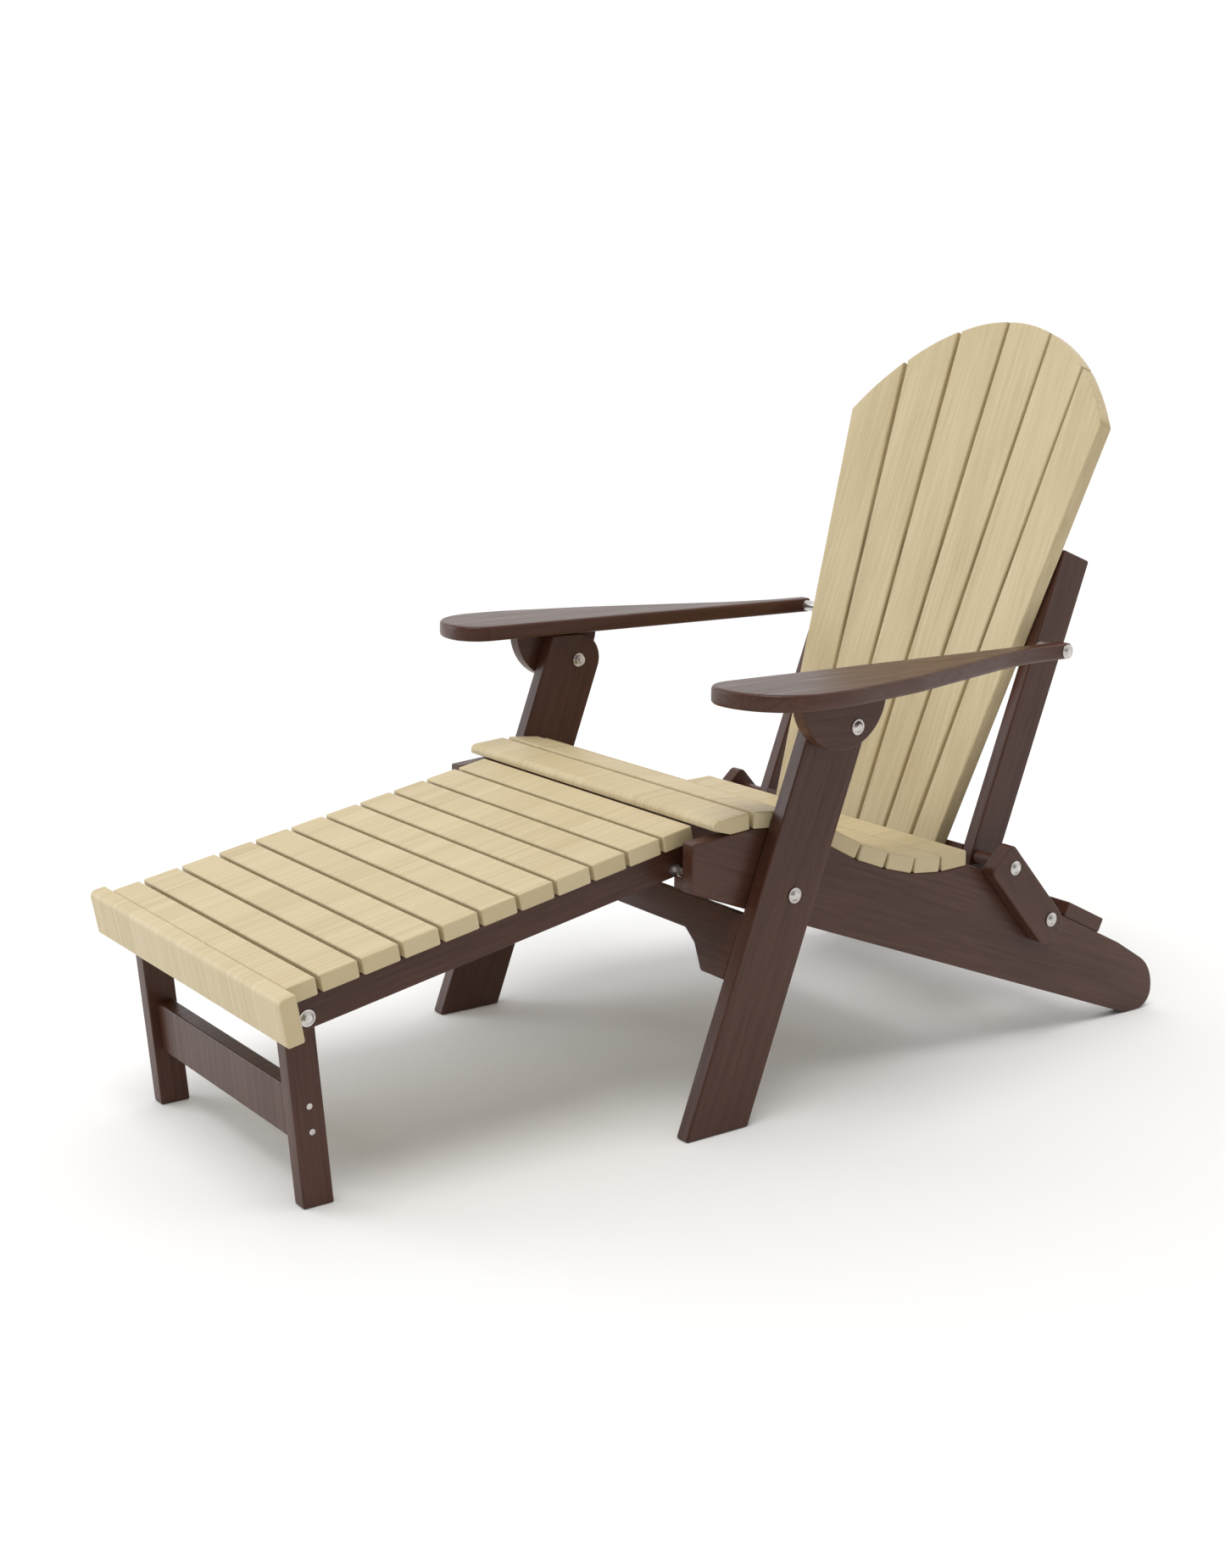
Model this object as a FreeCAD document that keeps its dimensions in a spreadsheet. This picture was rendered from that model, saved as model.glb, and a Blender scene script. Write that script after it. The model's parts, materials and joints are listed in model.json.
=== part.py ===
import FreeCAD, Part
import math
import os

import Sketcher
from FreeCAD import Placement, Rotation, Vector

# Folding adirondack chair with a pull-out ottoman.
# The chair faces -Y, +Z is up, millimetres. Outlines seen from the side are drawn with y counted
# from a datum under the front of the seat; centre_y moves that datum so that the whole object is
# centred on the origin.

DIMS = {
    "centre_y": 289.27,
    "board_t": 24.0,
    "upright_t": 22.0,
    "guide_t": 18.0,
    "stringer_x": 282.0,
    "leg_x": 307.0,
    "bracket_x": 332.0,
    "upright_x": 231.0,
    "guide_x": 264.0,
    "seat_half": 305.5,
    "arm_z": 605.0,
    "leg_pivot_y": 264.0,
    "leg_pivot_z": 325.0,
    "arm_pivot_y": 347.0,
    "arm_pivot_z": 558.0,
    "tail_pivot_y": 819.0,
    "tail_pivot_z": 617.0,
    "back_pivot_y": 708.8,
    "back_pivot_z": 297.9,
    "link_pivot_y": 796.4,
    "link_pivot_z": 202.6,
    "pin_r": 5.0,
    "fixed_hole_r": 5.05,
    "running_hole_r": 5.08,
    "washer_r": 11.0,
    "head_r": 9.0,
    "head_top_r": 5.0,
    "nut_r": 8.0,
    "back_lean": 20.16,
    "back_y": 696.0,
    "back_z": 325.0,
    "back_radius": 1405.0,
    "ottoman_slope": 10.81,
    "ottoman_y": -507.0,
    "ottoman_z": 304.5,
    "ottoman_half": 260.0,
    "fascia_half": 287.0,
    "rail_x": 226.0,
    "ottoman_leg_x": 201.4,
    "glide_a": 622.0,
    "glide_b": -56.0,
    "glide_y": 114.465,
    "glide_z": 366.152,
    "glide_pin_r": 4.0,
    "glide_hole_r": 4.06,
    "roller_r": 6.0,
    "collar_r": 8.0,
    "fold_pivot_a": 48.0,
    "fold_pivot_b": -52.0,
    "fold_pivot_y": -450.099,
    "fold_pivot_z": 262.425,
    "screw_r": 4.0,
    "screw_hole_r": 4.05,
    "screw_head_r": 5.5,
}

doc = FreeCAD.newDocument("adirondack_chair")
sheet = doc.addObject("Spreadsheet::Sheet", "dims")
for row, (alias, number) in enumerate(DIMS.items(), start=1):
    sheet.set("A%d" % row, alias)
    sheet.set("B%d" % row, "%.6g" % number)
    sheet.setAlias("B%d" % row, alias)
doc.recompute()

AXIS_X = Vector(1, 0, 0)
AXIS_Y = Vector(0, 1, 0)
NODES = []


def dim(alias):
    return DIMS[alias]


def bind(obj, prop, expression):
    obj.setExpression(prop, expression)


def round_corner(before, corner, after, radius):
    """Start, middle and end of the arc that rounds a corner."""
    to_before = (before - corner).normalize()
    to_after = (after - corner).normalize()
    half = math.acos(max(-1.0, min(1.0, to_before.dot(to_after)))) / 2
    reach = radius / math.tan(half)
    bisector = (to_before + to_after).normalize()
    centre = corner + bisector * (radius / math.sin(half))
    return corner + to_before * reach, centre - bisector * radius, corner + to_after * reach


def edges_of(corners):
    """Closed outline from (u, v), (u, v, radius) and ("via", u, v) entries.

    A "via" entry makes the stretch between its two neighbours an arc through that point.
    """
    points = [(Vector(c[0], c[1], 0), c[2] if len(c) > 2 else 0.0) for c in corners if c[0] != "via"]
    vias = {}
    count = 0
    for c in corners:
        if c[0] == "via":
            vias[count - 1] = Vector(c[1], c[2], 0)
        else:
            count += 1
    ends = []
    for i, (corner, radius) in enumerate(points):
        before = points[i - 1][0]
        after = points[(i + 1) % len(points)][0]
        if radius > 0:
            ends.append(round_corner(before, corner, after, radius))
        else:
            ends.append((corner, None, corner))
    edges = []
    for i, (start, middle, end) in enumerate(ends):
        if middle is not None:
            edges.append(Part.Arc(start, middle, end))
        following = ends[(i + 1) % len(ends)][0]
        if i in vias:
            edges.append(Part.Arc(end, vias[i], following))
        elif (following - end).Length > 1e-6:
            edges.append(Part.LineSegment(end, following))
    return edges


def add_sketch(body, plane, outlines, holes):
    sketch = body.newObject("Sketcher::SketchObject", body.Name + "_outline")
    origin_plane = [f for f in body.Origin.OriginFeatures if f.Role == plane][0]
    sketch.AttachmentSupport = (origin_plane, [""])
    sketch.MapMode = "FlatFace"
    for corners in outlines:
        sketch.addGeometry(edges_of(corners), False)
    for number, (u_alias, v_alias, r_alias) in enumerate(holes):
        centre = Vector(dim(u_alias), dim(v_alias), 0)
        circle = sketch.addGeometry(Part.Circle(centre, Vector(0, 0, 1), dim(r_alias)), False)
        limits = [
            ("hole_u%d" % number, u_alias, Sketcher.Constraint("DistanceX", -1, 1, circle, 3, centre.x)),
            ("hole_v%d" % number, v_alias, Sketcher.Constraint("DistanceY", -1, 1, circle, 3, centre.y)),
            ("hole_r%d" % number, r_alias, Sketcher.Constraint("Radius", circle, dim(r_alias))),
        ]
        for name, alias, constraint in limits:
            index = sketch.addConstraint(constraint)
            sketch.renameConstraint(index, name)
            bind(sketch, "Constraints.%s" % name, "dims.%s" % alias)
    return sketch


def plate(label, plane, outlines, thickness, placement, holes=()):
    """Board cut to an outline; thickness is an expression over the sheet."""
    body = doc.addObject("PartDesign::Body", label)
    body.Label = label
    sketch = add_sketch(body, plane, outlines, holes)
    pad = body.newObject("PartDesign::Pad", label + "_pad")
    pad.Profile = sketch
    bind(pad, "Length", thickness)
    body.Placement = placement
    NODES.append(body)
    return body


def side_board(label, outlines, x_alias, t_alias, side, holes=(), angle=0.0, origin=(0.0, 0.0)):
    """Board whose outline is seen from the side; side is +1 or -1."""
    base = Vector(0, origin[0] - dim("centre_y"), origin[1])
    body = plate(label, "YZ_Plane", outlines, "dims." + t_alias, Placement(base, Rotation(AXIS_X, angle)), holes)
    if side > 0:
        bind(body, "Placement.Base.x", "dims.%s" % x_alias)
    else:
        bind(body, "Placement.Base.x", "-dims.%s - dims.%s" % (x_alias, t_alias))
    bind(body, "Placement.Base.y", "%.6g - dims.centre_y" % origin[0])
    return body


def cross_board(label, corners, half_alias, angle, origin):
    """Board that runs right across the chair, drawn by its end section."""
    base = Vector(-dim(half_alias), origin[0] - dim("centre_y"), origin[1])
    placement = Placement(base, Rotation(AXIS_X, angle))
    body = plate(label, "YZ_Plane", [corners], "2 * dims." + half_alias, placement)
    bind(body, "Placement.Base.x", "-dims.%s" % half_alias)
    bind(body, "Placement.Base.y", "%.6g - dims.centre_y" % origin[0])
    return body


def section(a0, a1, b0, b1, ease=3.0):
    return [(a0, b0, ease), (a1, b0, ease), (a1, b1, ease), (a0, b1, ease)]


def turned(label, positions, steps, sides=(1, -1)):
    """Fasteners along X. positions: (y alias, z alias) or (y, z) numbers.

    steps: (x start, x end, radius alias at start, radius alias at end), x counted outward.
    """
    fasteners = []
    for y_pos, z_pos in positions:
        for side in sides:
            pieces = []
            for x0, x1, r0, r1 in steps:
                low, high = (x0, x1) if side > 0 else (-x1, -x0)
                first, last = (r0, r1) if side > 0 else (r1, r0)
                name = "%s_piece" % label
                if r0 == r1:
                    piece = doc.addObject("Part::Cylinder", name)
                    bind(piece, "Radius", "dims.%s" % r0)
                else:
                    piece = doc.addObject("Part::Cone", name)
                    bind(piece, "Radius1", "dims.%s" % first)
                    bind(piece, "Radius2", "dims.%s" % last)
                piece.Height = high - low
                y = dim(y_pos) if isinstance(y_pos, str) else y_pos
                z = dim(z_pos) if isinstance(z_pos, str) else z_pos
                piece.Placement = Placement(Vector(low, y - dim("centre_y"), z), Rotation(AXIS_Y, 90))
                if isinstance(y_pos, str):
                    bind(piece, "Placement.Base.y", "dims.%s - dims.centre_y" % y_pos)
                    bind(piece, "Placement.Base.z", "dims.%s" % z_pos)
                pieces.append(piece)
            if len(pieces) == 1:
                fasteners.append(pieces[0])
            else:
                fused = doc.addObject("Part::MultiFuse", "%s_one" % label)
                fused.Shapes = pieces
                fasteners.append(fused)
    group = doc.addObject("Part::Compound", label)
    group.Label = label
    group.Links = fasteners
    NODES.append(group)
    return group


SIDES = (("left", 1), ("right", -1))

# ---------------------------------------------------------------- seat frame

SEAT_TOP = [(141, 417), (205, 422), (268, 416), (335.5, 386), (403, 350),
            (460, 328), (517.5, 312), (574.7, 306), (632, 308)]
HEEL_TOP = [(645, 305, 6), (846, 197, 300), (995, 124, 120), (1084, 70, 66)]
UNDERSIDE_SLOPE = 0.376
UNDERSIDE_Z = 383.6
UNDERSIDE_ANGLE = math.atan(UNDERSIDE_SLOPE)


def underside(y):
    return UNDERSIDE_Z - UNDERSIDE_SLOPE * y


def above_underside(y, height):
    """Point straight above (y, underside), with height measured square to the underside."""
    return (y, underside(y) + height / math.cos(UNDERSIDE_ANGLE))


stringer = [(103, 414, 3)] + SEAT_TOP + HEEL_TOP
stringer += [(1084, 0, 31), (1020.2, 0), (103, underside(103), 4)]
for name, side in SIDES:
    side_board("stringer_" + name, [stringer], "stringer_x", "board_t", side,
               holes=[("leg_pivot_y", "leg_pivot_z", "fixed_hole_r"),
                      ("link_pivot_y", "link_pivot_z", "fixed_hole_r")])

SLAT_GAP = 5.8
for i in range(8):
    (y0, z0), (y1, z1) = SEAT_TOP[i], SEAT_TOP[i + 1]
    facet = math.hypot(y1 - y0, z1 - z0)
    slope = math.degrees(math.atan2(z1 - z0, y1 - y0))
    if i == 0:
        # The underside is bevelled so that the ottoman's last board slides in below it.
        corners = [(-1, 10.5, 2), (28, 0, 2), (facet - SLAT_GAP / 2, 0, 3),
                   (facet - SLAT_GAP / 2, dim("board_t"), 3), (-1, dim("board_t"), 9)]
    else:
        corners = section(SLAT_GAP / 2, facet - SLAT_GAP / 2, 0, dim("board_t"))
    cross_board("seat_slat_%d" % (i + 1), corners, "seat_half", slope, (y0, z0))

heel_slope = math.degrees(math.atan2(124 - 197, 995 - 846))
cross_board("rear_cross_board", section(12, 107, 0, dim("board_t")), "seat_half", heel_slope, (846, 197))

# The guides are ledges that the ottoman's rollers run on; heights are square to the underside.
GUIDE_LOW, GUIDE_HIGH, GLIDE_HEIGHT = 2.0, 17.6, 24.0
ALONG = (math.cos(UNDERSIDE_ANGLE), -math.sin(UNDERSIDE_ANGLE))
SQUARE = (math.sin(UNDERSIDE_ANGLE), math.cos(UNDERSIDE_ANGLE))


def guide_point(along, height):
    """Point in the guide's own directions, counted from the glide's rest position."""
    rise = height - GLIDE_HEIGHT
    return (dim("glide_y") + along * ALONG[0] + rise * SQUARE[0],
            dim("glide_z") + along * ALONG[1] + rise * SQUARE[1])


guide = [above_underside(104, GUIDE_LOW), guide_point(645, GUIDE_LOW),
         guide_point(645, GUIDE_HIGH), above_underside(104, GUIDE_HIGH)]
for name, side in SIDES:
    side_board("ottoman_guide_" + name, [guide], "guide_x", "guide_t", side)

turned("leg_pivot_bolts", [("leg_pivot_y", "leg_pivot_z")],
       [(272, 331.5, "pin_r", "pin_r"), (274, 282, "nut_r", "nut_r"),
        (331.5, 333, "washer_r", "washer_r"), (333, 336.5, "head_r", "head_top_r")])
turned("link_lower_bolts", [("link_pivot_y", "link_pivot_z")],
       [(272, 331.5, "pin_r", "pin_r"), (274, 280.5, "nut_r", "nut_r"),
        (280.5, 282, "washer_r", "washer_r"),
        (331.5, 333, "washer_r", "washer_r"), (333, 336.5, "head_r", "head_top_r")])

# ---------------------------------------------------------------- front legs

LEG_SLOPE = 0.3576
LEG_ANGLE = math.degrees(math.atan(LEG_SLOPE))
LEG_FRONT_Y, LEG_REAR_Y, LEG_TOP_Z = 83.0, 193.0, 601.0
leg = [(LEG_FRONT_Y, 0, 3), (LEG_REAR_Y, 0, 3),
       (LEG_REAR_Y + LEG_SLOPE * LEG_TOP_Z, LEG_TOP_Z, 42.5),
       (LEG_FRONT_Y + LEG_SLOPE * LEG_TOP_Z, LEG_TOP_Z, 4)]
for name, side in SIDES:
    side_board("front_leg_" + name, [leg], "leg_x", "board_t", side,
               holes=[("leg_pivot_y", "leg_pivot_z", "running_hole_r"),
                      ("arm_pivot_y", "arm_pivot_z", "running_hole_r")])

# The apron lies in the plane of the legs' front edges; its outline is drawn up that plane.
UP_EDGE = 1 / math.cos(math.radians(LEG_ANGLE))
apron_top, ear_low, arch_low, arch_flat = 305 * UP_EDGE, 215 * UP_EDGE, 246 * UP_EDGE, 261 * UP_EDGE
apron = [(-307, apron_top, 3), (-307, ear_low, 3), (-256, ear_low, 8), (-227, arch_low, 12),
         (-199, arch_flat, 12), (199, arch_flat, 12), (227, arch_low, 12), (256, ear_low, 8),
         (307, ear_low, 3), (307, apron_top, 3)]
lean = math.radians(LEG_ANGLE)
apron_base = Vector(0, LEG_FRONT_Y - dim("centre_y") + dim("board_t") * math.cos(lean),
                    -dim("board_t") * math.sin(lean))
plate("apron", "XY_Plane", [apron], "dims.board_t",
      Placement(apron_base, Rotation(AXIS_X, 90 - LEG_ANGLE)))

# ---------------------------------------------------------------- arms

arm = [(285, 118, 49), (431, 118, 95), (431, 268, 250), (400, 423, 400), (326, 670, 400),
       (310, 760, 300), (310, 831, 6), (285, 831, 6)]
for name, side in SIDES:
    outline = [(side * c[0],) + c[1:] for c in arm]
    base = Vector(0, -dim("centre_y"), dim("arm_z"))
    board = plate("arm_" + name, "XY_Plane", [outline], "dims.board_t", Placement(base, Rotation()))
    bind(board, "Placement.Base.y", "-dims.centre_y")
    bind(board, "Placement.Base.z", "dims.arm_z")
    bore = board.newObject("Sketcher::SketchObject", "arm_%s_bore" % name)
    bore.AttachmentSupport = ([f for f in board.Origin.OriginFeatures if f.Role == "YZ_Plane"][0], [""])
    bore.MapMode = "FlatFace"
    centre = Vector(dim("tail_pivot_y"), dim("tail_pivot_z") - dim("arm_z"), 0)
    bore.addGeometry(Part.Circle(centre, Vector(0, 0, 1), dim("fixed_hole_r")), False)
    index = bore.addConstraint(Sketcher.Constraint("Radius", 0, dim("fixed_hole_r")))
    bore.renameConstraint(index, "bore_r")
    bind(bore, "Constraints.bore_r", "dims.fixed_hole_r")
    doc.recompute()
    solid_before = board.Shape.Volume
    pocket = board.newObject("PartDesign::Pocket", "arm_%s_pocket" % name)
    pocket.Profile = bore
    pocket.Type = "ThroughAll"
    pocket.Reversed = side > 0
    doc.recompute()
    removed = solid_before - board.Shape.Volume
    wanted = math.pi * dim("fixed_hole_r") ** 2 * 25
    if abs(removed - wanted) > 0.02 * wanted:
        raise RuntimeError("arm bore removed %.1f instead of %.1f" % (removed, wanted))

BRACKET_R, BRACKET_Y = 78.0, 323.0
bracket = [(BRACKET_Y - BRACKET_R, dim("arm_z")), ("via", BRACKET_Y, dim("arm_z") - BRACKET_R),
           (BRACKET_Y + BRACKET_R, dim("arm_z"))]
for name, side in SIDES:
    side_board("arm_bracket_" + name, [bracket], "bracket_x", "board_t", side,
               holes=[("arm_pivot_y", "arm_pivot_z", "fixed_hole_r")])

front_bolts = [(297, 356, "pin_r", "pin_r"), (299, 305, "nut_r", "nut_r"),
               (305, 306.5, "washer_r", "washer_r"),
               (356, 357.5, "washer_r", "washer_r"), (357.5, 361, "head_r", "head_top_r")]
tail_bolts = [(254, 310, "pin_r", "pin_r"), (254, 285, "head_r", "head_r"),
              (310, 311.5, "washer_r", "washer_r"), (311.5, 315, "head_r", "head_top_r")]
front_group = turned("arm_bolts_front", [("arm_pivot_y", "arm_pivot_z")], front_bolts)
tail_group = turned("arm_bolts_tail", [("tail_pivot_y", "tail_pivot_z")], tail_bolts)
NODES.remove(front_group)
NODES.remove(tail_group)
arm_bolts = doc.addObject("Part::Compound", "arm_bolts")
arm_bolts.Label = "arm_bolts"
arm_bolts.Links = [front_group, tail_group]
NODES.append(arm_bolts)

# ---------------------------------------------------------------- links

link_up = Vector(dim("back_pivot_y") - dim("link_pivot_y"), dim("back_pivot_z") - dim("link_pivot_z"), 0)
LINK_LENGTH = link_up.Length
link_up.normalize()
link_rear = Vector(link_up.y, -link_up.x, 0)
LINK_FRONT, LINK_REAR, LINK_LOW, LINK_HIGH = -38.0, 22.0, -35.0, 34.0


def link_corner(along, across, radius):
    point = link_up * along + link_rear * across
    return (dim("link_pivot_y") + point.x, dim("link_pivot_z") + point.y, radius)


link = [link_corner(LINK_LOW, LINK_FRONT, 29.5), link_corner(LINK_LOW, LINK_REAR, 29.5),
        link_corner(LINK_LENGTH + LINK_HIGH, LINK_REAR, 12),
        link_corner(LINK_LENGTH + LINK_HIGH, LINK_FRONT, 12)]
for name, side in SIDES:
    side_board("link_" + name, [link], "leg_x", "board_t", side,
               holes=[("back_pivot_y", "back_pivot_z", "fixed_hole_r"),
                      ("link_pivot_y", "link_pivot_z", "running_hole_r")])
turned("link_upper_bolts", [("back_pivot_y", "back_pivot_z")],
       [(232, 331, "pin_r", "pin_r"), (331, 332.5, "washer_r", "washer_r"),
        (332.5, 336, "head_r", "head_top_r")])

spacers = []
for name, side in SIDES:
    low = 253.8 if side > 0 else -307.0
    tube = doc.addObject("Part::Cylinder", "spacer_tube_" + name)
    bore = doc.addObject("Part::Cylinder", "spacer_bore_" + name)
    for cylinder, alias in ((tube, "washer_r"), (bore, "fixed_hole_r")):
        bind(cylinder, "Radius", "dims.%s" % alias)
        cylinder.Height = 53.2
        spot = Vector(low, dim("back_pivot_y") - dim("centre_y"), dim("back_pivot_z"))
        cylinder.Placement = Placement(spot, Rotation(AXIS_Y, 90))
        bind(cylinder, "Placement.Base.y", "dims.back_pivot_y - dims.centre_y")
        bind(cylinder, "Placement.Base.z", "dims.back_pivot_z")
    ring = doc.addObject("Part::Cut", "spacer_" + name)
    ring.Base = tube
    ring.Tool = bore
    spacers.append(ring)
link_spacers = doc.addObject("Part::Compound", "link_spacers")
link_spacers.Label = "link_spacers"
link_spacers.Links = spacers
NODES.append(link_spacers)

# ---------------------------------------------------------------- back

LEAN = math.radians(dim("back_lean"))
UP_BACK = Vector(0, math.sin(LEAN), math.cos(LEAN))
REAR_BACK = Vector(0, math.cos(LEAN), -math.sin(LEAN))
BACK_ORIGIN = Vector(0, dim("back_y"), dim("back_z"))


def back_point(up, rear, radius=0.0):
    point = BACK_ORIGIN + UP_BACK * up + REAR_BACK * rear
    return (point.y, point.z, radius) if radius else (point.y, point.z)


UPRIGHT_FRONT, UPRIGHT_REAR, UPRIGHT_TOP, RAIL_REAR = 6.5, 68.5, 470.0, 46.0
offset = Vector(0, dim("back_pivot_y"), dim("back_pivot_z")) - BACK_ORIGIN
pivot_up = offset.dot(UP_BACK)
upright_low = pivot_up - 30.5
upright = [back_point(upright_low, UPRIGHT_FRONT, 30.5), back_point(upright_low, UPRIGHT_REAR, 30.5),
           back_point(UPRIGHT_TOP, UPRIGHT_REAR, 4), back_point(UPRIGHT_TOP, UPRIGHT_FRONT, 4)]
for name, side in SIDES:
    side_board("upright_" + name, [upright], "upright_x", "upright_t", side,
               holes=[("back_pivot_y", "back_pivot_z", "running_hole_r")])

SLATS = 6
STEP_ANGLE = 3.35
BACK_GAP = 6.0


def fan_width(up):
    """Width of one slat and one gap at a height up the back."""
    return 65 + 0.043 * up


def slat_angle(i):
    return math.radians(STEP_ANGLE * (i - (SLATS - 1) / 2))


def rear_face(i, x, gap):
    """How far behind the back's origin plane the rear face of slat i is, at x."""
    angle = slat_angle(i)
    reach = dim("back_radius") + dim("board_t") + gap
    foot_x = reach * math.sin(angle)
    foot_rear = reach * math.cos(angle) - dim("back_radius")
    return foot_rear - (x - foot_x) * math.tan(angle)


def back_rail(label, low, high):
    width = fan_width((low + high) / 2)
    edge = dim("upright_x")
    front = []
    for i in range(SLATS):
        x0 = (i - SLATS / 2) * width + BACK_GAP / 2 if i > 0 else -edge
        x1 = (i + 1 - SLATS / 2) * width - BACK_GAP / 2 if i < SLATS - 1 else edge
        front += [(x0, rear_face(i, x0, 0.3)), (x1, rear_face(i, x1, 0.3))]
    outline = front + [(edge, RAIL_REAR), (-edge, RAIL_REAR)]
    spot = BACK_ORIGIN + UP_BACK * low
    placement = Placement(Vector(0, spot.y - dim("centre_y"), spot.z), Rotation(AXIS_X, -dim("back_lean")))
    return plate(label, "XY_Plane", [outline], "%.6g" % (high - low), placement)


RAILS = (("lower", -40.0, -8.0), ("middle", 290.0, 361.0), ("upper", 405.0, 470.0))
for name, low, high in RAILS:
    back_rail("back_rail_" + name, low, high)

SLAT_LOW = -25.0
ARCH_MID, ARCH_HALF, ARCH_RISE = 226.0, 400.0, 605.0


def arch_top(t):
    return ARCH_MID + ARCH_RISE * math.sqrt(1 - (t / ARCH_HALF) ** 2)


def slat_edge(line, inward):
    """Top of the fan line that bounds a slat, moved half a gap inward, and its foot."""
    t = line * fan_width(700)
    for _ in range(20):
        t = line * fan_width(arch_top(t)) + inward
    return (line * fan_width(SLAT_LOW) + inward, SLAT_LOW), (t, arch_top(t))


for i in range(SLATS):
    angle = slat_angle(i)
    centre_t = dim("back_radius") * angle
    (t0, _), (t0_top, s0_top) = slat_edge(i - SLATS / 2, BACK_GAP / 2)
    (t1, _), (t1_top, s1_top) = slat_edge(i + 1 - SLATS / 2, -BACK_GAP / 2)
    t_mid = (t0_top + t1_top) / 2
    outline = [(t0 - centre_t, SLAT_LOW, 3), (t1 - centre_t, SLAT_LOW, 3), (t1_top - centre_t, s1_top),
               ("via", t_mid - centre_t, arch_top(t_mid)), (t0_top - centre_t, s0_top)]
    reach = dim("back_radius") + dim("board_t")
    shift = REAR_BACK * (reach * math.cos(angle) - dim("back_radius"))
    spot = BACK_ORIGIN + shift + AXIS_X * (reach * math.sin(angle))
    turn = Rotation(AXIS_X, 90 - dim("back_lean")) * Rotation(AXIS_Y, -math.degrees(angle))
    plate("back_slat_%d" % (i + 1), "XY_Plane", [outline], "dims.board_t",
          Placement(Vector(spot.x, spot.y - dim("centre_y"), spot.z), turn))

screws = []
for name, low, high in RAILS:
    middle = (low + high) / 2
    for i in range(SLATS):
        screw = doc.addObject("Part::Cone", "back_screw")
        bind(screw, "Radius1", "dims.screw_head_r")
        bind(screw, "Radius2", "dims.screw_head_r - 2.5")
        screw.Height = 2.5
        spot = BACK_ORIGIN + UP_BACK * middle + REAR_BACK * RAIL_REAR
        spot += AXIS_X * ((i - (SLATS - 1) / 2) * fan_width(middle))
        screw.Placement = Placement(Vector(spot.x, spot.y - dim("centre_y"), spot.z),
                                    Rotation(AXIS_X, -90 - dim("back_lean")))
        screws.append(screw)
back_screws = doc.addObject("Part::Compound", "back_screws")
back_screws.Label = "back_screws"
back_screws.Links = screws
NODES.append(back_screws)

# ---------------------------------------------------------------- ottoman

turned("glide_pins", [("glide_y", "glide_z")],
       [(221.5, 264.5, "glide_pin_r", "glide_pin_r"), (221.5, 225.5, "collar_r", "collar_r"),
        (250.5, 256, "collar_r", "collar_r"), (264.5, 281, "roller_r", "roller_r")])

OTTOMAN = (dim("ottoman_y"), dim("ottoman_z"))
FASCIA_DROP, RAIL_DEPTH, RAIL_END = 64.0, 44.0, 662.0
THICK = dim("board_t")
fascia = [(0, -FASCIA_DROP, 3), (THICK, -FASCIA_DROP, 3), (THICK, 0, 2), (0, 0, 9)]
cross_board("ottoman_fascia", fascia, "fascia_half", dim("ottoman_slope"), OTTOMAN)
FIRST_SLAT = (24.5, 65.0)
SLAT_START, SLAT_PITCH, SLAT_WIDTH = 71.0, 59.3, 53.3
LAST_SLAT_END = 654.5
for i in range(11):
    if i == 0:
        a0, a1 = FIRST_SLAT
    else:
        a0 = SLAT_START + SLAT_PITCH * (i - 1)
        a1 = min(a0 + SLAT_WIDTH, LAST_SLAT_END)
    cross_board("ottoman_slat_%d" % (i + 1), section(a0, a1, -THICK, 0), "ottoman_half",
                dim("ottoman_slope"), OTTOMAN)
rail = [(THICK, -THICK), (THICK, -THICK - RAIL_DEPTH, 3), (RAIL_END, -THICK - RAIL_DEPTH, 20),
        (RAIL_END, -THICK, 3)]
for name, side in SIDES:
    side_board("ottoman_rail_" + name, [rail], "rail_x", "board_t", side,
               holes=[("glide_a", "glide_b", "glide_hole_r"),
                      ("fold_pivot_a", "fold_pivot_b", "fixed_hole_r")],
               angle=dim("ottoman_slope"), origin=OTTOMAN)

# The legs hang from their pivot; "down" runs along the leg and "back" square to it.
FOOT_Y = -425.0
down = Vector(FOOT_Y - dim("fold_pivot_y"), -dim("fold_pivot_z"), 0).normalize()
back = Vector(-down.y, down.x, 0)
PIVOT = Vector(dim("fold_pivot_y"), dim("fold_pivot_z"), 0)
HALF = 21.5


def on_leg(along, across):
    return PIVOT + down * along + back * across


def foot(across):
    start = PIVOT + back * across
    return (start + down * (start.y / -down.y)).x


top_front = on_leg(-HALF, -HALF)
top_rear = on_leg(-HALF, HALF)
ottoman_leg = [(foot(-HALF), 0, 2), (foot(HALF), 0, 2), (top_rear.x, top_rear.y, HALF - 0.1),
               (top_front.x, top_front.y, HALF - 0.1)]
STRETCHER_FRONT, STRETCHER_REAR = -9.0, 15.0
STRETCHER_TOP, STRETCHER_LOW = 109.0, 182.0
screw_spots = [on_leg(127.0, 2.0), on_leg(162.0, 2.0)]
for name, side in SIDES:
    bored = side_board("ottoman_leg_" + name, [ottoman_leg], "ottoman_leg_x", "board_t", side,
                       holes=[("fold_pivot_y", "fold_pivot_z", "running_hole_r")])
    sketch = bored.Group[0]
    for spot in screw_spots:
        sketch.addGeometry(Part.Circle(spot, Vector(0, 0, 1), dim("screw_hole_r")), False)
stretcher = []
for along, across in ((STRETCHER_LOW, STRETCHER_FRONT), (STRETCHER_LOW, STRETCHER_REAR),
                      (STRETCHER_TOP, STRETCHER_REAR), (STRETCHER_TOP, STRETCHER_FRONT)):
    corner = on_leg(along, across)
    stretcher.append((corner.x, corner.y, 3))
cross_board("ottoman_stretcher", stretcher, "ottoman_leg_x", 0, (0, 0))
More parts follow.
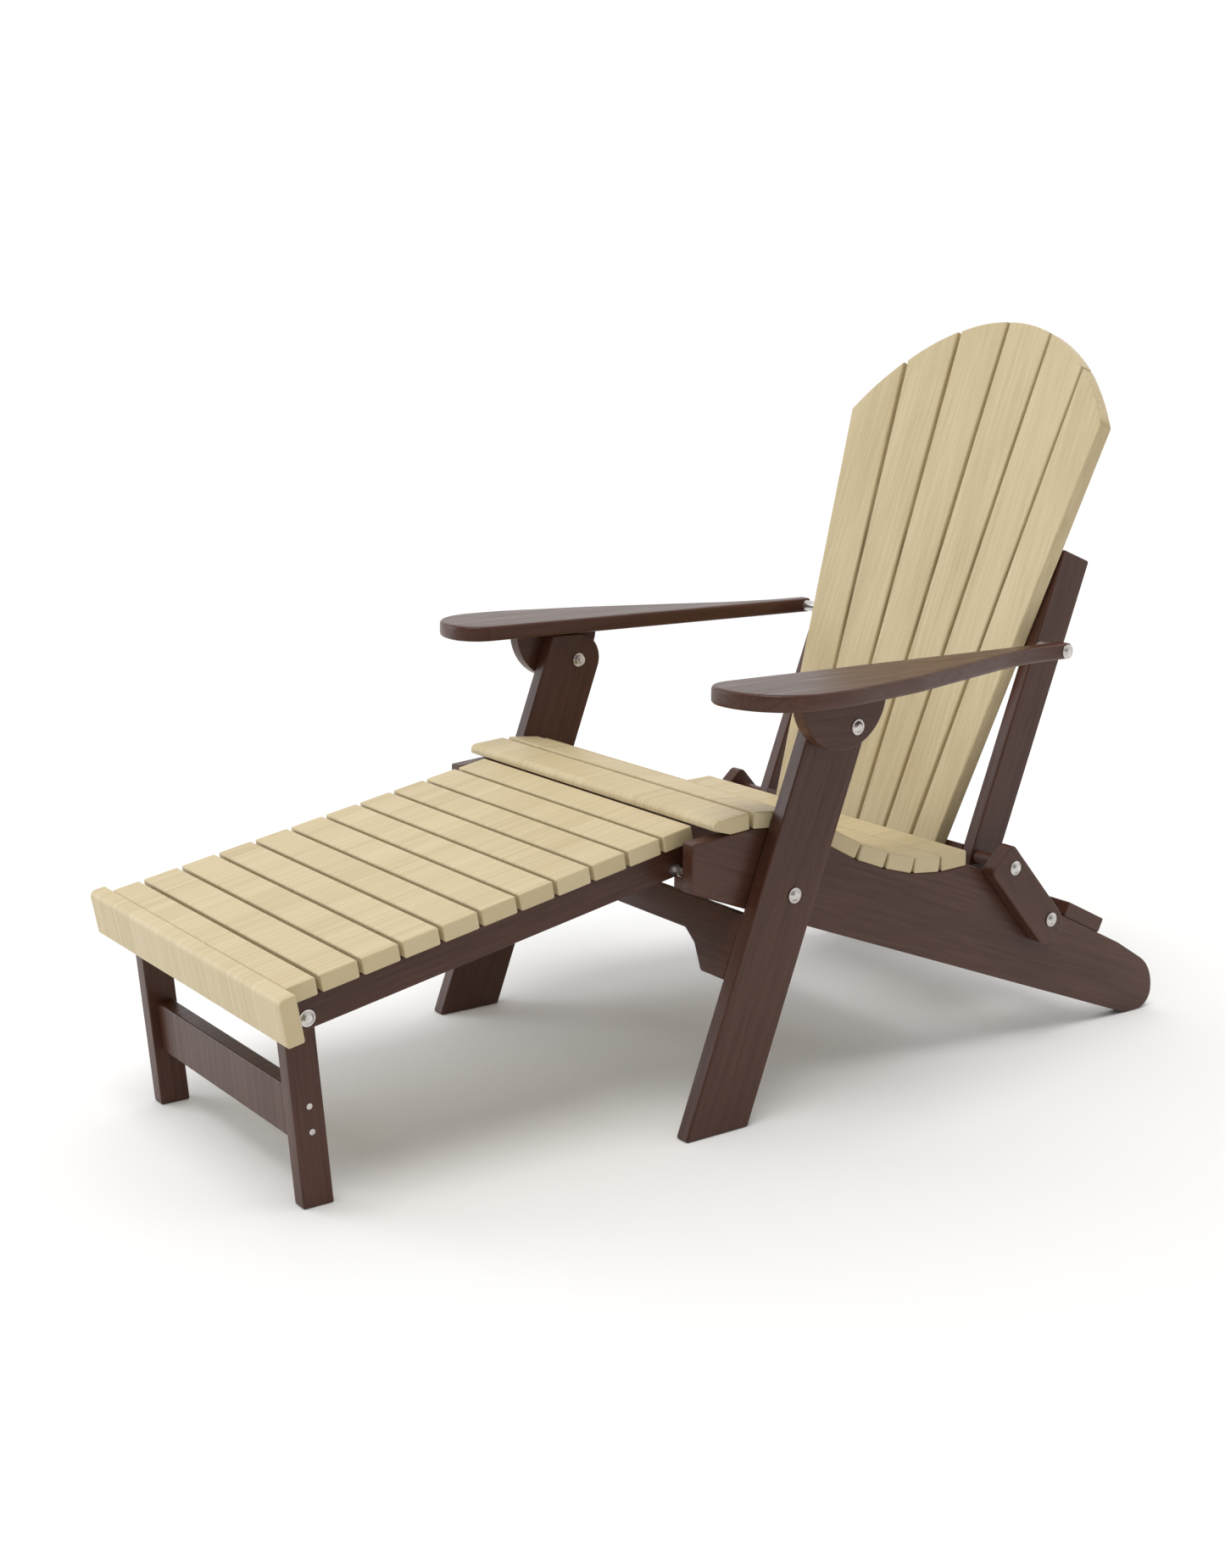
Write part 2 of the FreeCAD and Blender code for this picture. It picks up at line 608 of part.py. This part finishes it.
turned("stretcher_screws", [(spot.x, spot.y) for spot in screw_spots],
       [(201.6, 225.4, "screw_r", "screw_r")])
turned("ottoman_leg_bolts", [("fold_pivot_y", "fold_pivot_z")],
       [(191, 250, "pin_r", "pin_r"), (193, 199.4, "nut_r", "nut_r"),
        (199.4, 200.9, "washer_r", "washer_r"),
        (250, 251.5, "washer_r", "washer_r"), (251.5, 255, "head_r", "head_top_r")])

# ---------------------------------------------------------------- checks and files

doc.recompute()
for obj in doc.Objects:
    if "Invalid" in obj.State or "Error" in obj.State:
        raise RuntimeError("%s is %s" % (obj.Label, obj.State))
labels = [node.Label for node in NODES]
if len(set(labels)) != len(labels):
    raise RuntimeError("labels repeat")
for node in NODES:
    if node.Shape.isNull() or not node.Shape.isValid() or not node.Shape.Solids:
        raise RuntimeError("%s has no valid solid" % node.Label)

os.makedirs("parts", exist_ok=True)
for node in NODES:
    node.Shape.exportStep("parts/%s.step" % node.Label)

box = FreeCAD.BoundBox()
for node in NODES:
    box.add(node.Shape.BoundBox)
print("nodes %d" % len(NODES))
print("x %.2f %.2f  y %.2f %.2f  z %.2f %.2f" % (box.XMin, box.XMax, box.YMin, box.YMax, box.ZMin, box.ZMax))
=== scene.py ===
import json
import math

import bmesh
import bpy
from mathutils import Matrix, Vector
from mathutils.geometry import tessellate_polygon


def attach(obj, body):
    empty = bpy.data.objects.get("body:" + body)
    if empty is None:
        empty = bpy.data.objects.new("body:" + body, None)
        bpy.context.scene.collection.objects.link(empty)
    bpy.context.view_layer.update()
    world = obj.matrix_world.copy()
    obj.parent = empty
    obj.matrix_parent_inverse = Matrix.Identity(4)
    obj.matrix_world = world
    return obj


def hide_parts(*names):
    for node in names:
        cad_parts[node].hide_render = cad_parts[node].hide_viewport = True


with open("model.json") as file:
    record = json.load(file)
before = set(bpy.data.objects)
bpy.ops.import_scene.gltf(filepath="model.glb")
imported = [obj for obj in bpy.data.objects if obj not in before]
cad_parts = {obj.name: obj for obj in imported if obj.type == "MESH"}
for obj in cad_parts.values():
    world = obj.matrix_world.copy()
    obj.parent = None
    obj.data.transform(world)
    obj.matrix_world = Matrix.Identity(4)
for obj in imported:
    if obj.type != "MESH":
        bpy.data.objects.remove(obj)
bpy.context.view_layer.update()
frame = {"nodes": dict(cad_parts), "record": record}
NODES = frame["nodes"]
BODY_OF = {node: body for body, names in frame["record"]["behaviour"]["bodies"].items() for node in names}
scene = bpy.context.scene

# Directions in which the boards run and face, in the frame's axes: +Z up, the chair faces -Y.
AXIS_X = Vector((1, 0, 0))
AXIS_Y = Vector((0, 1, 0))
AXIS_Z = Vector((0, 0, 1))
BACK_LEAN = math.radians(20.16)
BACK_UP = Vector((0, math.sin(BACK_LEAN), math.cos(BACK_LEAN)))
BACK_REAR = Vector((0, math.cos(BACK_LEAN), -math.sin(BACK_LEAN)))
LEG_LEAN = math.atan(0.3576)
LEG_UP = Vector((0, math.sin(LEG_LEAN), math.cos(LEG_LEAN)))
LEG_REAR = Vector((0, math.cos(LEG_LEAN), -math.sin(LEG_LEAN)))
STRINGER_SLOPE = math.atan(0.376)
STRINGER_RUN = Vector((0, math.cos(STRINGER_SLOPE), -math.sin(STRINGER_SLOPE)))
OTTOMAN_SLOPE = math.radians(10.81)
OTTOMAN_RUN = Vector((0, math.cos(OTTOMAN_SLOPE), math.sin(OTTOMAN_SLOPE)))
OTTOMAN_LEG_UP = Vector((0, -0.0999, 0.995))
LINK_UP = Vector((0, -0.62, 0.78)).normalized()

# The six back slats face different ways, because the back is hollow in plan.
SLAT_STEP = math.radians(3.35)
MIDDLE_SLAT = 3.5

# How far each kind of board's edges are rounded.
THIN_EDGE = 0.0012
OTTOMAN_LEG_EDGE = 0.0018
FASCIA_EDGE = 0.0020
SLAT_EDGE = 0.0022
FRAME_EDGE = 0.0026
BACK_SLAT_EDGE = 0.0030
ARM_EDGE = 0.0050
ROUND_STEPS = 3


def add_object(name, data):
    holder = bpy.data.objects.new(name, data)
    scene.collection.objects.link(holder)
    return holder


def looking(place, target):
    """The matrix of a camera or lamp at place that looks at target."""
    matrix = (target - place).to_track_quat("-Z", "Y").to_matrix().to_4x4()
    matrix.translation = place
    return matrix


# ---------------------------------------------------------------- camera

CAMERA_AT = Vector((2.371, -1.85027, 1.099))
CAMERA_TARGET = Vector((-0.008, -0.09027, 0.426))
CAMERA_ROLL = math.radians(0.86)

camera_data = bpy.data.cameras.new("camera")
camera_data.sensor_fit = "VERTICAL"
camera_data.sensor_height = 36.0
camera_data.lens = 46.9
camera_data.dof.use_dof = False
camera = add_object("camera", camera_data)
camera.matrix_world = looking(CAMERA_AT, CAMERA_TARGET)
camera.rotation_euler.rotate_axis("Z", CAMERA_ROLL)
scene.camera = camera


# ---------------------------------------------------------------- boards

def plane_frame(normal):
    """Two directions square to a board's thickness."""
    first = AXIS_Z if abs(normal.x) > 0.9 else AXIS_X
    first = (first - normal * first.dot(normal)).normalized()
    return first, normal.cross(first)


def cap_loops(node, normal):
    """Outlines of the board's flat face towards normal, and its two faces' heights along normal."""
    bm = bmesh.new()
    bm.from_mesh(NODES[node].data)
    bmesh.ops.remove_doubles(bm, verts=bm.verts, dist=1e-6)
    bm.normal_update()
    heights = [v.co.dot(normal) for v in bm.verts]
    high = max(heights)
    low = min(heights)

    def on_top(face):
        level = face.calc_center_median().dot(normal)
        return face.normal.dot(normal) > 0.999 and abs(level - high) < 1e-5

    cap = {face for face in bm.faces if on_top(face)}
    following = {}
    for face in cap:
        for loop in face.loops:
            if not any(other in cap for other in loop.edge.link_faces if other is not face):
                following[loop.vert] = loop.link_loop_next.vert
    outlines = []
    while following:
        start = next(iter(following))
        ring = [start]
        vert = following.pop(start)
        while vert is not start:
            ring.append(vert)
            vert = following.pop(vert)
        outlines.append([v.co.copy() for v in ring])
    bm.free()
    return outlines, high, low


def area_2d(points):
    """Area inside an outline, negative if it runs clockwise."""
    return sum(a.x * b.y - b.x * a.y for a, b in zip(points, points[1:] + points[:1])) / 2


def inset(points, amount):
    """Moves each corner of a counter-clockwise outline inward."""
    moved = []
    count = len(points)
    for i, point in enumerate(points):
        before = (point - points[i - 1]).normalized()
        after = (points[(i + 1) % count] - point).normalized()
        inward = Vector((-before.y, before.x)) + Vector((-after.y, after.x))
        scale = max(0.5, inward.length_squared / 2)
        moved.append(point + inward * (amount / scale))
    return moved


def board_mesh(node, normal, ease):
    """A closed board on the outline and bores of its CAD node, with edges rounded by ease."""
    outlines, high, low = cap_loops(node, normal)
    u_dir, v_dir = plane_frame(normal)
    flat = [[Vector((p.dot(u_dir), p.dot(v_dir))) for p in ring] for ring in outlines]
    flat.sort(key=lambda ring: -abs(area_2d(ring)))
    outer = flat[0] if area_2d(flat[0]) > 0 else flat[0][::-1]
    holes = [ring if area_2d(ring) < 0 else ring[::-1] for ring in flat[1:]]
    levels = []
    for j in range(ROUND_STEPS + 1):
        turn = math.pi / 2 * j / ROUND_STEPS
        levels.append((ease * (1 - math.cos(turn)), ease * (1 - math.sin(turn))))
    rings = [(inset_by, low + drop) for inset_by, drop in reversed(levels)]
    rings += [(inset_by, high - drop) for inset_by, drop in levels]
    bm = bmesh.new()

    def place(point, height):
        return bm.verts.new(u_dir * point.x + v_dir * point.y + normal * height)

    def wall(lower, upper):
        count = len(lower)
        for i in range(count):
            k = (i + 1) % count
            bm.faces.new((lower[i], lower[k], upper[k], upper[i]))

    columns = [[place(p, height) for p in inset(outer, by)] for by, height in rings]
    for lower, upper in zip(columns, columns[1:]):
        wall(lower, upper)
    bores = []
    for ring in holes:
        pair = [[place(p, height) for p in ring] for height in (low, high)]
        wall(pair[0], pair[1])
        bores.append(pair)
    for end, outward in ((0, -normal), (-1, normal)):
        groups = [columns[end]] + [pair[end] for pair in bores]
        flat_groups = [[Vector((v.co.dot(u_dir), v.co.dot(v_dir), 0)) for v in group] for group in groups]
        verts = [v for group in groups for v in group]
        for triangle in tessellate_polygon(flat_groups):
            a, b, c = (verts[i] for i in triangle)
            if (b.co - a.co).cross(c.co - a.co).dot(outward) < 0:
                a, c = c, a
            try:
                bm.faces.new((a, b, c))
            except ValueError:  # the triangle is there already
                pass
    bmesh.ops.recalc_face_normals(bm, faces=bm.faces)
    mesh = bpy.data.meshes.new(node + "_board")
    bm.to_mesh(mesh)
    bm.free()
    return mesh


def store_grain(mesh, normal, grain, number):
    """Stores each point's place along and across the grain, shifted so that no two boards match."""
    side = grain.cross(normal).normalized()
    centre = sum((v.co for v in mesh.vertices), Vector()) / len(mesh.vertices)
    attribute = mesh.attributes.new("grain", "FLOAT_VECTOR", "POINT")
    shift = Vector((number * 1.37, number * 0.61, number * 2.13))
    for i, vert in enumerate(mesh.vertices):
        p = vert.co - centre
        attribute.data[i].vector = Vector((p.dot(grain), p.dot(side), p.dot(normal))) + shift


def board(node, normal, grain, ease, number):
    """Replaces a CAD board by one with rounded edges and a grain."""
    mesh = board_mesh(node, normal, ease)
    store_grain(mesh, normal, grain, number)
    mesh.shade_smooth()
    mesh.set_sharp_from_angle(angle=math.radians(50))
    piece = add_object(node + "_board", mesh)
    weighted = piece.modifiers.new("normals", "WEIGHTED_NORMAL")
    weighted.keep_sharp = True
    weighted.weight = 80
    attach(piece, BODY_OF[node])
    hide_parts(node)
    return piece


# ---------------------------------------------------------------- materials

def new_material(name):
    material = bpy.data.materials.new(name)
    material.use_nodes = True
    tree = material.node_tree
    return material, tree.nodes, tree.links, tree.nodes["Principled BSDF"]


def ramp(nodes, stops):
    node = nodes.new("ShaderNodeValToRGB")
    node.color_ramp.elements[0].position = stops[0][0]
    node.color_ramp.elements[0].color = stops[0][1] + (1,)
    node.color_ramp.elements[1].position = stops[-1][0]
    node.color_ramp.elements[1].color = stops[-1][1] + (1,)
    for position, color in stops[1:-1]:
        node.color_ramp.elements.new(position).color = color + (1,)
    return node


def noise(nodes, links, vector, scale, detail):
    node = nodes.new("ShaderNodeTexNoise")
    node.inputs["Scale"].default_value = scale
    node.inputs["Detail"].default_value = detail
    links.new(vector, node.inputs["Vector"])
    return node


def add_bump(nodes, links, height, strength, distance, shader):
    bump = nodes.new("ShaderNodeBump")
    bump.inputs["Strength"].default_value = strength
    bump.inputs["Distance"].default_value = distance
    links.new(height, bump.inputs["Height"])
    links.new(bump.outputs["Normal"], shader.inputs["Normal"])


def lumber(name, dark, middle, light, roughness, specular, bump_depth):
    """Embossed plastic lumber: fine streaks along the board over slow patches of tone."""
    material, nodes, links, shader = new_material(name)
    grain = nodes.new("ShaderNodeAttribute")
    grain.attribute_name = "grain"

    def grain_noise(along, across, thick, detail):
        """Noise with this many features to a metre along the board, across it and through it."""
        mapping = nodes.new("ShaderNodeMapping")
        mapping.inputs["Scale"].default_value = (along, across, thick)
        links.new(grain.outputs["Vector"], mapping.inputs["Vector"])
        return noise(nodes, links, mapping.outputs["Vector"], 1.0, detail)

    def blend(first, second, amount):
        mix = nodes.new("ShaderNodeMix")
        mix.data_type = "FLOAT"
        mix.inputs["Factor"].default_value = amount
        links.new(first, mix.inputs["A"])
        links.new(second, mix.inputs["B"])
        return mix.outputs["Result"]

    streak = grain_noise(7, 190, 190, 6.0)
    streak.inputs["Roughness"].default_value = 0.62
    fine = grain_noise(34, 900, 900, 4.0)
    patch = grain_noise(3, 14, 14, 3.0)
    speck = grain_noise(420, 700, 700, 2.0)

    tone = blend(streak.outputs["Fac"], patch.outputs["Fac"], 0.40)
    tone = blend(tone, speck.outputs["Fac"], 0.16)
    colors = ramp(nodes, [(0.30, dark), (0.50, middle), (0.72, light)])
    links.new(tone, colors.inputs["Fac"])
    links.new(colors.outputs["Color"], shader.inputs["Base Color"])

    gloss = nodes.new("ShaderNodeMapRange")
    gloss.inputs["From Min"].default_value = 0.3
    gloss.inputs["From Max"].default_value = 0.7
    gloss.inputs["To Min"].default_value = roughness + 0.09
    gloss.inputs["To Max"].default_value = roughness - 0.07
    links.new(streak.outputs["Fac"], gloss.inputs["Value"])
    links.new(gloss.outputs["Result"], shader.inputs["Roughness"])

    relief = blend(streak.outputs["Fac"], fine.outputs["Fac"], 0.45)
    add_bump(nodes, links, relief, 0.55, bump_depth, shader)
    shader.inputs["Specular IOR Level"].default_value = specular
    return material


def stainless():
    """Turned stainless steel, a little cloudy."""
    material, nodes, links, shader = new_material("stainless")
    place = nodes.new("ShaderNodeTexCoord").outputs["Object"]
    turned = noise(nodes, links, place, 900.0, 4.0)
    cloudy = noise(nodes, links, place, 120.0, 2.0)
    colors = ramp(nodes, [(0.3, (0.46, 0.43, 0.41)), (0.7, (0.74, 0.71, 0.68))])
    links.new(cloudy.outputs["Fac"], colors.inputs["Fac"])
    links.new(colors.outputs["Color"], shader.inputs["Base Color"])
    gloss = nodes.new("ShaderNodeMapRange")
    gloss.inputs["To Min"].default_value = 0.22
    gloss.inputs["To Max"].default_value = 0.42
    links.new(cloudy.outputs["Fac"], gloss.inputs["Value"])
    links.new(gloss.outputs["Result"], shader.inputs["Roughness"])
    add_bump(nodes, links, turned.outputs["Fac"], 0.2, 0.0002, shader)
    shader.inputs["Metallic"].default_value = 0.9
    return material


TAN = lumber("tan_lumber", dark=(0.46, 0.355, 0.195), middle=(0.57, 0.465, 0.275),
             light=(0.66, 0.56, 0.36), roughness=0.46, specular=0.40, bump_depth=0.0007)
BROWN = lumber("brown_lumber", dark=(0.044, 0.0165, 0.0095), middle=(0.072, 0.028, 0.0170),
               light=(0.106, 0.046, 0.030), roughness=0.33, specular=0.30, bump_depth=0.0005)
STEEL = stainless()


def set_material(data, material):
    data.materials.clear()
    data.materials.append(material)


def wood_slot(node):
    return "tan_board" if "slat" in node or node == "ottoman_fascia" else "brown_board"


# ---------------------------------------------------------------- every board, its facing, grain and edge

def back_slat_normal(number):
    """Which way a back slat's front face looks."""
    angle = SLAT_STEP * (number - MIDDLE_SLAT)
    return -(AXIS_X * math.sin(angle) + BACK_REAR * math.cos(angle)).normalized()


boards = []
for side in ("left", "right"):
    boards += [("stringer_" + side, AXIS_X, STRINGER_RUN, FRAME_EDGE),
               ("ottoman_guide_" + side, AXIS_X, STRINGER_RUN, THIN_EDGE),
               ("front_leg_" + side, AXIS_X, LEG_UP, FRAME_EDGE),
               ("arm_" + side, AXIS_Z, AXIS_Y, ARM_EDGE),
               ("arm_bracket_" + side, AXIS_X, AXIS_Y, FRAME_EDGE),
               ("link_" + side, AXIS_X, LINK_UP, FRAME_EDGE),
               ("upright_" + side, AXIS_X, BACK_UP, FRAME_EDGE),
               ("ottoman_rail_" + side, AXIS_X, OTTOMAN_RUN, FRAME_EDGE),
               ("ottoman_leg_" + side, AXIS_X, OTTOMAN_LEG_UP, OTTOMAN_LEG_EDGE)]
boards += [("apron", LEG_REAR, AXIS_X, FRAME_EDGE)]
boards += [("back_rail_" + level, BACK_UP, AXIS_X, THIN_EDGE) for level in ("lower", "middle", "upper")]
boards += [("back_slat_%d" % i, back_slat_normal(i), BACK_UP, BACK_SLAT_EDGE) for i in range(1, 7)]
boards += [("seat_slat_%d" % i, AXIS_X, AXIS_X, SLAT_EDGE) for i in range(1, 9)]
boards += [("ottoman_slat_%d" % i, AXIS_X, AXIS_X, SLAT_EDGE) for i in range(1, 12)]
boards += [("ottoman_fascia", AXIS_X, AXIS_X, FASCIA_EDGE),
           ("ottoman_stretcher", AXIS_X, AXIS_X, THIN_EDGE),
           ("rear_cross_board", AXIS_X, AXIS_X, SLAT_EDGE)]

for number, (node, normal, grain, ease) in enumerate(boards):
    piece = board(node, normal, grain, ease, number)
    slot = wood_slot(node)
    set_material(piece.data, TAN if slot == "tan_board" else BROWN)

# Bolts, screws, rollers and spacers keep their CAD shapes.
for node, obj in NODES.items():
    if "spacers" in node:
        set_material(obj.data, BROWN)
    elif any(word in node for word in ("bolts", "screws", "pins")):
        set_material(obj.data, STEEL)


# ---------------------------------------------------------------- floor and light

FLOOR_HALF = 30
FLOOR_DROP = 0.0006
LIT_POINT = Vector((0, 0, 0.4))


def add_floor():
    """A wide pale floor just under the feet."""
    mesh = bpy.data.meshes.new("floor")
    corners = [(x * FLOOR_HALF, y * FLOOR_HALF, 0) for x, y in ((-1, -1), (1, -1), (1, 1), (-1, 1))]
    mesh.from_pydata(corners, [], [(0, 1, 2, 3)])
    floor = add_object("floor", mesh)
    floor.location.z = -FLOOR_DROP
    material, *_, shader = new_material("floor")
    shader.inputs["Base Color"].default_value = (0.88, 0.88, 0.88, 1)
    shader.inputs["Roughness"].default_value = 0.9
    shader.inputs["Specular IOR Level"].default_value = 0.1
    mesh.materials.append(material)


def add_world():
    """Light from a white backdrop on one side, fading to a dimmer studio on the other.

    The camera itself sees plain white in every direction.
    """
    world = bpy.data.worlds.new("studio")
    scene.world = world
    world.use_nodes = True
    nodes, links = world.node_tree.nodes, world.node_tree.links
    direction = nodes.new("ShaderNodeTexCoord")
    across = nodes.new("ShaderNodeMapping")
    across.inputs["Rotation"].default_value = (0, 0, math.radians(217.7))
    across.inputs["Scale"].default_value = (1.18, 1.18, 1.18)
    across.inputs["Location"].default_value = (0.70, 0, 0)
    links.new(direction.outputs["Generated"], across.inputs["Vector"])
    fade = nodes.new("ShaderNodeTexGradient")
    links.new(across.outputs["Vector"], fade.inputs["Vector"])
    tones = ramp(nodes, [(0.0, (0.30, 0.30, 0.30)), (0.55, (0.68, 0.68, 0.68)), (1.0, (1.0, 1.0, 1.0))])
    links.new(fade.outputs["Fac"], tones.inputs["Fac"])
    lighting = nodes["Background"]
    links.new(tones.outputs["Color"], lighting.inputs["Color"])
    white = nodes.new("ShaderNodeBackground")
    white.inputs["Color"].default_value = (1, 1, 1, 1)
    rays = nodes.new("ShaderNodeLightPath")
    seen = nodes.new("ShaderNodeMixShader")
    links.new(rays.outputs["Is Camera Ray"], seen.inputs[0])
    links.new(lighting.outputs["Background"], seen.inputs[1])
    links.new(white.outputs["Background"], seen.inputs[2])
    links.new(seen.outputs["Shader"], nodes["World Output"].inputs["Surface"])


def lamp(name, kind, place, energy, color):
    data = bpy.data.lights.new(name, kind)
    data.energy = energy
    data.color = color
    holder = add_object(name, data)
    holder.matrix_world = looking(Vector(place), LIT_POINT)
    return data


add_floor()
add_world()
key = lamp("key", "SUN", (0.7, -1.0, 4.2), 1.55, (1.0, 0.98, 0.95))
key.angle = math.radians(35)
fill = lamp("fill", "AREA", (-3.4, -3.3, 1.6), 62, (0.84, 0.92, 1.0))
fill.shape = "SQUARE"
fill.size = 2.6

scene.view_settings.view_transform = "Standard"
scene.view_settings.look = "None"
